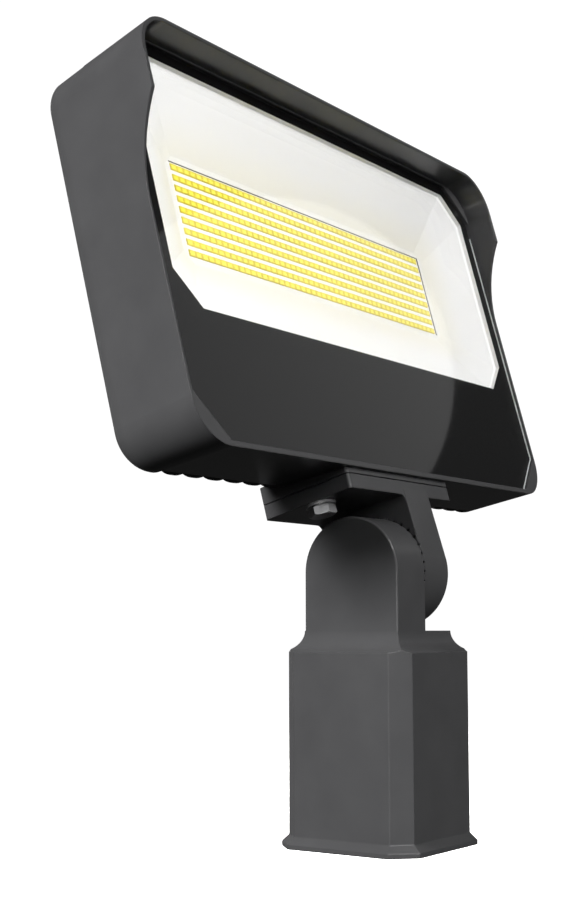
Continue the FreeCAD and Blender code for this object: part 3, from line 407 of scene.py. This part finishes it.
def whiteTray():
    mat, tree = newMaterial("whiteTray")
    shader = tree.nodes["Principled BSDF"]
    # how far a spot stands in front of the tilt axis, along the way the lamp looks
    ahead = tree.nodes.new("ShaderNodeVectorMath")
    ahead.operation = "DOT_PRODUCT"
    looks = headPlace.to_3x3() @ Vector((0, -1, 0))
    ahead.inputs[1].default_value = looks
    link(tree, objectSpace(tree), ahead.inputs[0])
    axis = tilt["pivot"].dot(looks)
    climb = spread(tree, ahead.outputs["Value"], 0.0, 1.0, axis + tray["board"],
                   axis + tray["mouth"])
    blur = tree.nodes.new("ShaderNodeMath")
    blur.operation = "ADD"
    link(tree, climb, blur.inputs[0])
    patches = noise(tree, **tray["patches"])
    link(tree, spread(tree, patches, -tray["drift"], tray["drift"]), blur.inputs[1])
    # painted yellow bounce light: near the board the white turns cream, as if lit by light thrown
    # back from the yellow chips, and fades to white towards the mouth
    tones = [(0.0, tray["white"]), (tray["paintedBounceAt"], tray["paintedBounce"]),
             (tray["whiteAt"], tray["white"])]
    # painted shadow: the edge of the opening is drawn dark where it meets the board, as the shade
    # in the gap there
    lineEnd, clear = tray["lineEnds"]
    edge = [(0.0, tray["line"]), (lineEnd, tray["line"]), (clear, (1, 1, 1))]
    both = tree.nodes.new("ShaderNodeMix")
    both.data_type = "RGBA"
    both.blend_type = "MULTIPLY"
    both.inputs["Factor"].default_value = 1.0
    link(tree, ramp(tree, blur.outputs[0], tones), both.inputs["A"])
    link(tree, ramp(tree, climb, edge), both.inputs["B"])
    link(tree, both.outputs["Result"], shader.inputs["Base Color"])
    grain = noise(tree, **tray["grain"])
    shader.inputs["Roughness"].default_value = sum(tray["rough"]) / 2
    link(tree, spread(tree, grain, *tray["rough"]), shader.inputs["Roughness"])
    return mat


board = {"dark": (0.86, 0.86, 0.84), "light": (0.92, 0.92, 0.90), "cloud": {"scale": 400},
         "rough": (0.4, 0.55)}
dress(whiteTray(), "reflector")
dress(finish("solderMask", board), "led_board")

chips = {
    "rows": 9, "perRow": 48, "pitch": 5.11 * mm, "rowPitch": 6.0 * mm, "middle": 182.45 * mm,
    "board": 9.4 * mm, "wide": 4.75 * mm, "tall": 3.5 * mm, "case": 0.5 * mm, "high": 0.7 * mm,
    "slope": 0.18 * mm, "lip": 0.45 * mm, "sunk": 0.12 * mm, "dish": 0.1 * mm,
    "caseLook": {"dark": (0.70, 0.57, 0.03), "light": (0.80, 0.67, 0.05),
                 "cloud": {"scale": 300, "detail": 2}, "rough": (0.35, 0.5)},
    "phosphorLook": {"dark": (0.86, 0.77, 0.05), "light": (0.94, 0.87, 0.10),
                     "stops": (0.25, 0.75), "cloud": {"scale": 260, "detail": 2},
                     "rough": (0.25, 0.45)},
}


def addChip(bm, across, up):
    # case, sloping rim, then the phosphor sunk a little inside it
    rim = chips["slope"] + chips["lip"]
    levels = [
        (0.0, 0.0),
        (chips["case"], 0.0),
        (chips["high"], chips["slope"]),
        (chips["high"], rim),
        (chips["high"] - chips["sunk"], rim + chips["dish"]),
    ]
    loops = []
    for ahead, inset in levels:
        half, rise = chips["wide"] / 2 - inset, chips["tall"] / 2 - inset
        y = -(chips["board"] + ahead)
        loops.append([bm.verts.new((across + sx * half, y, up + sz * rise))
                      for sx, sz in ((-1, -1), (1, -1), (1, 1), (-1, 1))])
    for low, high in zip(loops, loops[1:]):
        bridge(bm, low, high)
    bm.faces.new(loops[-1]).material_index = 1
    bm.faces.new(list(reversed(loops[0])))


bm = bmesh.new()
for row in range(chips["rows"]):
    up = chips["middle"] + (row - (chips["rows"] - 1) / 2) * chips["rowPitch"]
    for spot in range(chips["perRow"]):
        addChip(bm, (spot - (chips["perRow"] - 1) / 2) * chips["pitch"], up)
bm.transform(headPlace)
chipMats = [finish("chipCase", chips["caseLook"]), finish("phosphor", chips["phosphorLook"])]
addPiece("ledChips", bm, chipMats, "yellow_chip", "head", "led_rows", sharp=20)

# the mouth of the tray, carried forward to the print as the glass shows it
# painted shade: the mouth wears a darker copy of the tray's white, for the shade on its edges
mouth = {"rear": 25.0 * mm, "thick": 0.3 * mm, "dark": (0.66, 0.66, 0.655),
         "light": (0.72, 0.72, 0.715), "scale": 200, "rough": 0.45}
bm = bmesh.new()
beyond = cutCorners(border["window"]["half"] + mouth["thick"],
                    border["window"]["low"] - mouth["thick"],
                    border["window"]["high"] + mouth["thick"], border["window"]["cut"])
wall(bm, beyond, window, mouth["rear"], printRear)
bm.transform(headPlace)
shadedMouthWhite = mottled("shadedMouthWhite", mouth["dark"], mouth["light"], mouth["scale"], mouth["rough"])
addPiece("trayMouth", bm, [shadedMouthWhite], "white_tray", "head")
print("light engine made:", chips["rows"] * chips["perRow"], "chips")


# pieces out of sight: dark tone, light tone, scale of the mottling, roughness, metal
hidden = {
    "heatPad": ((0.36, 0.38, 0.40), (0.46, 0.48, 0.50), 300, 0.7),
    "driverCase": ((0.50, 0.51, 0.52), (0.66, 0.67, 0.68), 120, 0.4, 0.9),
    "nylon": ((0.70, 0.69, 0.64), (0.80, 0.79, 0.74), 240, 0.5),
    "leadSleeve": ((0.28, 0.015, 0.015), (0.38, 0.03, 0.03), 300, 0.45),
}
wearers = {"heatPad": ["thermal_pad"], "driverCase": ["driver"],
           "nylon": ["terminal_block", "board_connector"], "leadSleeve": ["led_leads"]}
for name, look in hidden.items():
    dress(mottled(name, *look), *wearers[name])
print("inner pieces finished")


# studio: pale floor, soft boxes, white surround
ground = {
    "height": -0.16, "size": 60, "cells": 8,
    "look": {"dark": (0.90, 0.90, 0.90), "light": (0.93, 0.93, 0.93), "cloud": {"scale": 6},
             "sockets": {"Roughness": 0.8, "Emission Color": (1, 1, 1, 1),
                         "Emission Strength": 1.0}},
}
bm = bmesh.new()
bmesh.ops.create_grid(bm, x_segments=ground["cells"], y_segments=ground["cells"],
                      size=ground["size"])
floorMesh = bpy.data.meshes.new("floor")
bm.to_mesh(floorMesh)
bm.free()
floorMesh.materials.append(finish("paleFloor", ground["look"]))
floor = bpy.data.objects.new("floor", floorMesh)
floor.location.z = ground["height"]
floor.visible_diffuse = False
floor.visible_glossy = False
scene.collection.objects.link(floor)

lights = {
    "key": {"at": (-2.74, 0.6, 1.3), "size": 0.8, "watts": 232},
    "front": {"at": (-0.4, -1.65, 1.1), "size": 1.1, "watts": 63},
    "rear": {"at": (1.0, 2.6, 1.0), "size": 1.8, "watts": 260},
    "near": {"at": (-1.5, -0.98, 0.02), "size": 0.4, "watts": 7.5},
    "high": {"at": (-0.75, -1.1, 1.25), "size": 0.4, "watts": 22},
}
disc = {"at": (0.979, -0.5695, 0.8204), "facing": (-0.8671, 0.3474, -0.357), "size": 0.516,
        "watts": 0.215}


def softBox(name, at, size, watts, target=(0, 0, 0.2)):
    lamp = bpy.data.lights.new(name, "AREA")
    lamp.shape = "SQUARE"
    lamp.size = size
    lamp.energy = watts
    thing = bpy.data.objects.new(name, lamp)
    scene.collection.objects.link(thing)
    back = (Vector(at) - Vector(target)).normalized()
    turn = back.to_track_quat("Z", "Y").to_matrix().to_4x4()
    thing.matrix_world = Matrix.Translation(at) @ turn
    return thing


# the large boxes only shade: none of them is mirrored in the pane
for name in ("key", "front", "rear"):
    softBox(name + "Box", **lights[name]).visible_glossy = False
# two small cards only give the edges their bright lines
for name in ("near", "high"):
    softBox(name + "Card", **lights[name]).visible_diffuse = False
# a round card shows as the arc in the pane
roundCard = softBox("roundCard", disc["at"], disc["size"], disc["watts"],
                    Vector(disc["at"]) + Vector(disc["facing"]))
roundCard.data.shape = "DISK"

# the camera sees white, the lamp a dim surround that is a little darker below
surround = {"below": 0.03, "above": 0.038, "from": -0.3, "to": 0.15, "seen": 1.05}


def whiteSurround():
    world = bpy.data.worlds.new("surround")
    world.use_nodes = True
    tree = world.node_tree
    tree.nodes.clear()
    out = tree.nodes.new("ShaderNodeOutputWorld")
    mix = tree.nodes.new("ShaderNodeMixShader")
    dim = tree.nodes.new("ShaderNodeBackground")
    seen = tree.nodes.new("ShaderNodeBackground")
    path = tree.nodes.new("ShaderNodeLightPath")
    where = tree.nodes.new("ShaderNodeTexCoord")
    split = tree.nodes.new("ShaderNodeSeparateXYZ")
    link(tree, where.outputs["Generated"], split.inputs[0])
    rise = spread(tree, split.outputs["Z"], surround["below"], surround["above"],
                  surround["from"], surround["to"])
    dim.inputs["Color"].default_value = (1, 1, 1, 1)
    link(tree, rise, dim.inputs["Strength"])
    seen.inputs["Color"].default_value = (1, 1, 1, 1)
    seen.inputs["Strength"].default_value = surround["seen"]
    link(tree, path.outputs["Is Camera Ray"], mix.inputs["Fac"])
    link(tree, dim.outputs[0], mix.inputs[1])
    link(tree, seen.outputs[0], mix.inputs[2])
    link(tree, mix.outputs[0], out.inputs["Surface"])
    return world


scene.world = whiteSurround()
scene.view_settings.view_transform = "Standard"

# camera, fitted to the picture: focal length in pixels of a frame 900 px high
shot = {"at": (-0.6906, -0.4251, 0.1133), "ahead": (0.8148, 0.5676, 0.1176), "roll": -0.09,
        "focal": 1502.8, "frame": 900, "sensor": 36, "clip": (0.01, 200)}
lens = bpy.data.cameras.new("camera")
lens.sensor_fit = "AUTO"
lens.sensor_width = shot["sensor"]
lens.lens = shot["focal"] * shot["sensor"] / shot["frame"]
lens.clip_start, lens.clip_end = shot["clip"]
camera = bpy.data.objects.new("camera", lens)
scene.collection.objects.link(camera)
ahead = Vector(shot["ahead"]).normalized()
across = ahead.cross(Vector((0, 0, 1))).normalized()
upward = across.cross(ahead)
turn = Matrix((across, upward, -ahead)).transposed().to_4x4()
roll = Matrix.Rotation(math.radians(shot["roll"]), 4, "Z")
camera.matrix_world = Matrix.Translation(shot["at"]) @ turn @ roll
scene.camera = camera
print("studio and camera set")
